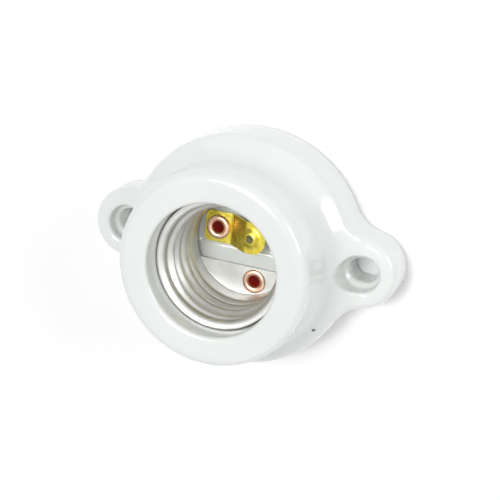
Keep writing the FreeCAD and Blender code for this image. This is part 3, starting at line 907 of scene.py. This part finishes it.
@dataclass
class ContactStrip:
    """The stamped brass strip: riveted pad, springy tongue, domed and pierced tip."""

    sheet: float = CONTACT_SHEET
    width: float = 7.2
    heel: float = 3.3
    flat: float = 3.4
    rise_angle: float = 38.0
    rise: float = 5.4
    tip_angle: float = 7.0
    tip: float = 5.0
    bend: float = 0.8
    hole: float = 1.0
    hole_setback: float = 3.5
    tip_corner: float = 3.2
    heel_corner: float = 1.2
    dome_radius: float = 2.7
    dome_height: float = 0.7
    crown: float = 0.9
    edge_round: float = 0.09
    floor: float = CONTACT_SEAT
    rivet: tuple[float, float] = CONTACT_RIVET
    rivet_hole: float = RIVET_HOLE
    cell: float = 0.22
    margin: float = 0.6
    punch_reach: float = 2.0
    still_until: float = -0.7
    springs_from: float = 1.6
    finish: BareMetal = STRIP_BRASS

    @property
    def end(self) -> float:
        """The tip's distance from the rivet, along the flat strip."""
        return self.flat + self.rise + self.tip

    @property
    def hole_place(self) -> float:
        """The tip hole's distance from the rivet, along the flat strip."""
        return self.end - self.hole_setback

    def outline(self) -> list[tuple[float, float]]:
        """List the strip's flat outline, measured from the rivet along the strip.

        Returns:
            Places along and across the strip.
        """
        half = self.width / 2
        reach = self.end - self.tip_corner
        places = Workbench.arc((reach, half - self.tip_corner), self.tip_corner, 90.0, 0.0, 16)
        places += Workbench.arc((reach, self.tip_corner - half), self.tip_corner, 0.0, -90.0, 16)
        back = self.heel_corner - self.heel
        places += Workbench.arc((back, self.heel_corner - half), self.heel_corner,
                                -90.0, -180.0, 6)
        places += Workbench.arc((back, half - self.heel_corner), self.heel_corner,
                                180.0, 90.0, 6)
        return places

    def blank(self) -> bpy.types.Object:
        """Cut the flat blank with its two holes.

        Returns:
            The flat strip, its middle plane at height 0.
        """
        length = self.heel + self.end
        Workbench.clear_selection()
        bpy.ops.mesh.primitive_grid_add(
            x_subdivisions=round(length / self.cell), y_subdivisions=round(self.width / self.cell),
            size=1.0, location=((length / 2 - self.heel) * MM, 0.0, 0.0))
        piece = bpy.context.active_object
        piece.name = "contact_strip_bent"
        piece.scale = ((length + self.margin) * MM, (self.width + self.margin) * MM, 1.0)
        Workbench.pick(piece)
        bpy.ops.object.transform_apply(location=True, rotation=True, scale=True)
        Workbench.use(piece, "SOLIDIFY", thickness=self.sheet * MM, offset=0.0)
        points = [Vector((x * MM, y * MM, -self.sheet * MM)) for x, y in self.outline()]
        die = Workbench.line("strip_die", points, closed=True)
        bpy.ops.object.mode_set(mode="EDIT")
        bpy.ops.mesh.select_all(action="SELECT")
        bpy.ops.mesh.edge_face_add()
        bpy.ops.mesh.extrude_region_move(
            TRANSFORM_OT_translate={"value": (0.0, 0.0, 2 * self.sheet * MM)})
        bpy.ops.mesh.select_all(action="SELECT")
        bpy.ops.mesh.normals_make_consistent(inside=False)
        bpy.ops.object.mode_set(mode="OBJECT")
        Workbench.cut(piece, die, "INTERSECT")
        for place, radius in ((0.0, self.rivet_hole), (self.hole_place, self.hole)):
            punch = Workbench.drum("strip_punch", radius, -self.punch_reach, self.punch_reach,
                                   (place, 0.0))
            Workbench.cut(piece, punch)
        Workbench.use(piece, "BEVEL", width=self.edge_round * MM, segments=2, limit_method="ANGLE",
                      angle_limit=math.radians(60.0), harden_normals=False)
        return piece

    def press(self, point: Vector) -> Vector:
        """Dome the tip and bend the flat blank to its side outline.

        Args:
            point: a point of the flat blank, in metres.

        Returns:
            Its place in the finished strip.
        """
        along = point.x / MM
        away = math.hypot(along - self.hole_place, point.y / MM)
        fall = smoothstep(self.hole * self.crown, self.dome_radius, away)
        up = point.z / MM + self.dome_height * (1.0 - fall)
        x, z, angle = self.spine(along)
        x -= up * math.sin(angle)
        z += up * math.cos(angle)
        return Vector(((self.rivet[0] + x) * MM, self.rivet[1] * MM + point.y,
                       (self.floor + self.sheet / 2 + z) * MM))

    def spine(self, along: float) -> tuple[float, float, float]:
        """Follow the strip's middle line.

        Args:
            along: distance from the rivet along the strip, in millimetres.

        Returns:
            Place along X, height, and slope in radians.
        """
        if along <= 0.0:
            return along, 0.0, 0.0
        radius = self.bend + self.sheet / 2
        x = z = angle = walked = 0.0
        turns = ((self.flat, math.radians(self.rise_angle)),
                 (self.flat + self.rise, math.radians(self.tip_angle - self.rise_angle)))
        for place, turn in turns:
            half = abs(turn) * radius / 2
            step = min(along, place - half) - walked
            if step > 0.0:
                x += step * math.cos(angle)
                z += step * math.sin(angle)
                walked += step
            if along > place - half:
                bent = min(along - (place - half), 2 * half)
                swept = math.copysign(bent / radius, turn)
                sign = math.copysign(1.0, turn)
                x += sign * radius * (math.sin(angle + swept) - math.sin(angle))
                z += sign * radius * (math.cos(angle) - math.cos(angle + swept))
                angle += swept
                walked += bent
        step = along - walked
        if step > 0.0:
            x += step * math.cos(angle)
            z += step * math.sin(angle)
        return x, z, angle

    def build(self) -> bpy.types.Object:
        """Make the strip.

        Returns:
            The finished piece.
        """
        piece = self.blank()
        Workbench.shape(piece, self.press)
        Workbench.finish(piece, self.finish.make(), Shading.CREASED)
        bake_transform(piece)
        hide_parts("contact_spring")
        return piece


@dataclass
class HollowRivet:
    """A hollow copper rivet with a rolled head, seen inside the socket."""

    label: str
    node: str
    centre: tuple[float, float]
    seat: float
    bore: float = 1.35
    barrel: float = 1.8
    head: float = 2.8
    head_height: float = 0.75
    foot: float = 2.5
    foot_low: float = 0.5
    foot_high: float = 1.0
    foot_lead: float = 0.15
    foot_round: float = 0.22
    head_trim: float = 0.12
    roll_height: float = 0.56
    roll_power: float = 0.75
    roll_steps: int = 12
    mouth_depth: float = 1.2
    steps: int = 72

    def profile(self) -> list[tuple[float, float]]:
        """List the rivet's section as a loop.

        Returns:
            Places of radius and height.
        """
        top = self.seat + self.head_height
        places = [(self.bore, self.foot_low + self.foot_lead),
                  (self.bore + self.foot_lead, self.foot_low)]
        places += Workbench.arc((self.foot - self.foot_round, self.foot_low + self.foot_round),
                                self.foot_round, -90.0, 0.0, 5)
        places += [(self.foot, self.foot_high), (self.barrel, self.foot_high)]
        places += [(self.barrel, self.seat), (self.head - self.head_trim, self.seat)]
        middle = (self.head + self.bore) / 2
        half = (self.head - self.bore) / 2
        for step in range(self.roll_steps + 1):
            angle = math.pi * step / self.roll_steps
            swell = self.roll_height * math.sin(angle) ** self.roll_power
            places.append((middle + half * math.cos(angle), top - self.roll_height + swell))
        places.append((self.bore, self.seat - self.mouth_depth))
        return places

    def build(self) -> bpy.types.Object:
        """Make the rivet.

        Returns:
            The finished piece.
        """
        piece = Workbench.lathe(self.label, self.profile(), self.steps, True, self.centre)
        copper = RivetCopper(f"{self.label}_copper", self.centre, self.bore,
                             self.seat + self.head_height)
        Workbench.finish(piece, copper.make(), Shading.CREASED)
        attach(piece, "holder")
        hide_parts(self.node)
        return piece


@dataclass
class TerminalScrew:
    """A slotted pan-head terminal screw with a cut thread."""

    label: str
    node: str
    body: str
    centre: tuple[float, float]
    head_low: float = 1.7
    head_high: float = 3.2
    head: float = 2.6
    shank: float = 1.45
    point: float = 9.2
    pitch: float = 0.5
    slot_width: float = 0.8
    slot_depth: float = 0.7
    slot_ring: float = 1.2
    blade_spare: float = 1.0
    head_round: float = 0.55
    head_trim: float = 0.08
    taper: float = 0.45
    thread_depth: float = 0.24
    run_in: tuple[float, float] = (0.3, 0.9)
    rings_per_turn: int = 8
    steps: int = 48
    finish: BareMetal = SCREW_ZINC

    def profile(self) -> list[tuple[float, float]]:
        """List the screw's outline from the head's middle to the point.

        Returns:
            Places of radius and height.
        """
        places = [(0.0, self.head_low), (self.slot_ring, self.head_low)]
        places += Workbench.arc((self.head - self.head_round, self.head_low + self.head_round),
                                self.head_round, -90.0, 0.0, 7)
        places += [(self.head, self.head_high - self.head_trim),
                   (self.head - self.head_trim, self.head_high)]
        level = self.head_high
        while level < self.point - self.taper:
            places.append((self.shank, level))
            level += self.pitch / self.rings_per_turn
        places += [(self.shank - self.taper, self.point), (0.0, self.point)]
        return places

    def build(self) -> bpy.types.Object:
        """Make the screw.

        Returns:
            The finished piece.
        """
        piece = Workbench.lathe(self.label, self.profile(), self.steps, closed=False)
        Workbench.shape(piece, self.cut_thread)
        Workbench.clear_selection()
        spare = self.blade_spare
        bpy.ops.mesh.primitive_cube_add(
            size=1.0, location=(0.0, 0.0, (self.head_low + self.slot_depth / 2 - spare / 2) * MM))
        blade = bpy.context.active_object
        blade.scale = (self.slot_width * MM, 3 * self.head * MM, (self.slot_depth + spare) * MM)
        Workbench.pick(blade)
        bpy.ops.object.transform_apply(location=True, rotation=True, scale=True)
        Workbench.cut(piece, blade)
        piece.location = (self.centre[0] * MM, self.centre[1] * MM, 0.0)
        steel = replace(self.finish, name=f"{self.label}_zinc")
        Workbench.finish(piece, steel.make(), Shading.CREASED)
        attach(piece, self.body)
        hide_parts(self.node)
        return piece

    def cut_thread(self, point: Vector) -> Vector:
        """Sink the thread's groove into the plain shank.

        Args:
            point: a point of the plain screw, in metres.

        Returns:
            Its place after cutting.
        """
        radius = math.hypot(point.x, point.y) / MM
        level = point.z / MM
        if level < self.head_high + self.run_in[0] or abs(radius - self.shank) > NEAR:
            return point
        angle = math.atan2(point.y, point.x)
        wave = 0.5 + 0.5 * math.cos(math.tau * level / self.pitch - angle)
        depth = self.thread_depth * wave * smoothstep(
            self.head_high + self.run_in[0], self.head_high + self.run_in[1], level)
        share = 1.0 - depth / radius
        return Vector((point.x * share, point.y * share, point.z))


@dataclass
class BackPlates:
    """The two terminal plates and square clamp washers, dressed as their solids stand."""

    frame: dict
    plate_finish: BareMetal = PLATE_BRASS
    washer_finish: BareMetal = WASHER_ZINC

    def dress(self) -> None:
        """Give the plates and washers their finishes."""
        finishes = {
            ("shell_terminal", "contact_terminal"): self.plate_finish.make(),
            ("shell_clamp_washer", "contact_clamp_washer"): self.washer_finish.make(),
        }
        for names, material in finishes.items():
            for name in names:
                for slot in self.frame["nodes"][name].material_slots:
                    slot.material = material
                LOG.info("dressed %s", name)


# ---------------------------------------------------------------- studio


@dataclass(frozen=True)
class SoftBox:
    """A square lamp that looks at the part, sizes in metres and power in watts."""

    name: str
    place: tuple[float, float, float]
    side: float
    power: float

    def hang(self) -> None:
        """Hang the lamp at its place."""
        data = bpy.data.lights.new(self.name, "AREA")
        data.size = self.side
        data.energy = self.power
        lamp = bpy.data.objects.new(self.name, data)
        lamp.location = self.place
        lamp.rotation_euler = (-Vector(self.place)).to_track_quat("-Z", "Y").to_euler()
        bpy.context.scene.collection.objects.link(lamp)


@dataclass
class Studio:
    """A pale floor, three soft boxes and the camera; the camera's place is in millimetres."""

    camera_place: tuple[float, float, float] = (127.53, 129.92, 369.23)
    forward: tuple[float, float, float] = (-0.3093, -0.3226, -0.8946)
    up: tuple[float, float, float] = (-0.2036, 0.9414, -0.2691)
    lens: float = 129.6
    sensor: float = 36.0
    shift: tuple[float, float] = (-0.0074, 0.0016)
    clip_start: float = 0.01
    floor_side: float = 6.0
    floor_level: float = -0.00005
    world_level: float = 0.47
    lamps: tuple[SoftBox, ...] = (
        SoftBox("key_lamp", (-0.15, 0.19, 0.97), 0.34, 4.95),
        SoftBox("side_lamp", (0.75, 0.35, 0.45), 0.35, 2.0),
        SoftBox("low_lamp", (0.1, -0.8, 0.5), 0.5, 0.4),
    )

    def build(self) -> None:
        """Set up everything that isn't part of the object."""
        self.stand_floor()
        self.light_world()
        for lamp in self.lamps:
            lamp.hang()
        self.set_camera()
        bpy.context.scene.view_settings.view_transform = "Standard"

    def stand_floor(self) -> None:
        """Lay a wide pale floor under the part."""
        Workbench.clear_selection()
        bpy.ops.mesh.primitive_plane_add(size=self.floor_side,
                                         location=(0.0, 0.0, self.floor_level))
        floor = bpy.context.active_object
        floor.name = "studio_floor"
        bench = NodeBench("pale_floor")
        bench.set(Base_Color=WHITE, Roughness=0.9, Specular_IOR_Level=0.0)
        floor.data.materials.append(bench.material)

    def light_world(self) -> None:
        """Light the room evenly, and show it plain white behind and in what gleams."""
        world = bpy.data.worlds.new("room")
        bpy.context.scene.world = world
        world.use_nodes = True
        tree = world.node_tree
        tree.nodes.clear()
        output = tree.nodes.new("ShaderNodeOutputWorld")
        room = tree.nodes.new("ShaderNodeBackground")
        room.inputs["Color"].default_value = WHITE
        room.inputs["Strength"].default_value = self.world_level
        shown = tree.nodes.new("ShaderNodeBackground")
        shown.inputs["Color"].default_value = WHITE
        path = tree.nodes.new("ShaderNodeLightPath")
        either = tree.nodes.new("ShaderNodeMath")
        either.operation = "MAXIMUM"
        tree.links.new(path.outputs["Is Camera Ray"], either.inputs[0])
        tree.links.new(path.outputs["Is Glossy Ray"], either.inputs[1])
        mix = tree.nodes.new("ShaderNodeMixShader")
        tree.links.new(either.outputs[0], mix.inputs[0])
        tree.links.new(room.outputs[0], mix.inputs[1])
        tree.links.new(shown.outputs[0], mix.inputs[2])
        tree.links.new(mix.outputs[0], output.inputs["Surface"])

    def set_camera(self) -> None:
        """Stand the camera high over the part, beyond its right-hand ear."""
        data = bpy.data.cameras.new("camera")
        data.sensor_width = self.sensor
        data.lens = self.lens
        data.shift_x, data.shift_y = self.shift
        data.clip_start = self.clip_start
        camera = bpy.data.objects.new("camera", data)
        forward = Vector(self.forward).normalized()
        right = forward.cross(Vector(self.up)).normalized()
        up = right.cross(forward).normalized()
        turn = Matrix((right, up, -forward)).transposed()
        camera.matrix_world = Matrix.Translation(Vector(self.camera_place) * MM) @ turn.to_4x4()
        bpy.context.scene.collection.objects.link(camera)
        bpy.context.scene.camera = camera


# ---------------------------------------------------------------- everything


def main() -> None:
    """Build, dress and light the lamp holder."""
    logging.basicConfig(level=logging.INFO, format="%(name)s: %(message)s")
    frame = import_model()
    builders = (
        PorcelainBody(frame),
        ScrewShell(),
        ContactStrip(),
        HollowRivet("shell_rivet_rolled", "shell_rivet", SHELL_RIVET, SHELL_FLOOR),
        HollowRivet("contact_rivet_rolled", "contact_rivet", CONTACT_RIVET,
                    CONTACT_SEAT + CONTACT_SHEET),
        TerminalScrew("shell_screw_cut", "shell_terminal_screw", "shell_screw", (2.7, -20.8)),
        TerminalScrew("contact_screw_cut", "contact_terminal_screw", "contact_screw",
                      (-2.2, 20.8)),
    )
    for builder in builders:
        piece = builder.build()
        LOG.info("built %s with %d faces", piece.name, len(piece.data.polygons))
    BackPlates(frame).dress()
    Studio().build()


if __name__ == "__main__":
    main()
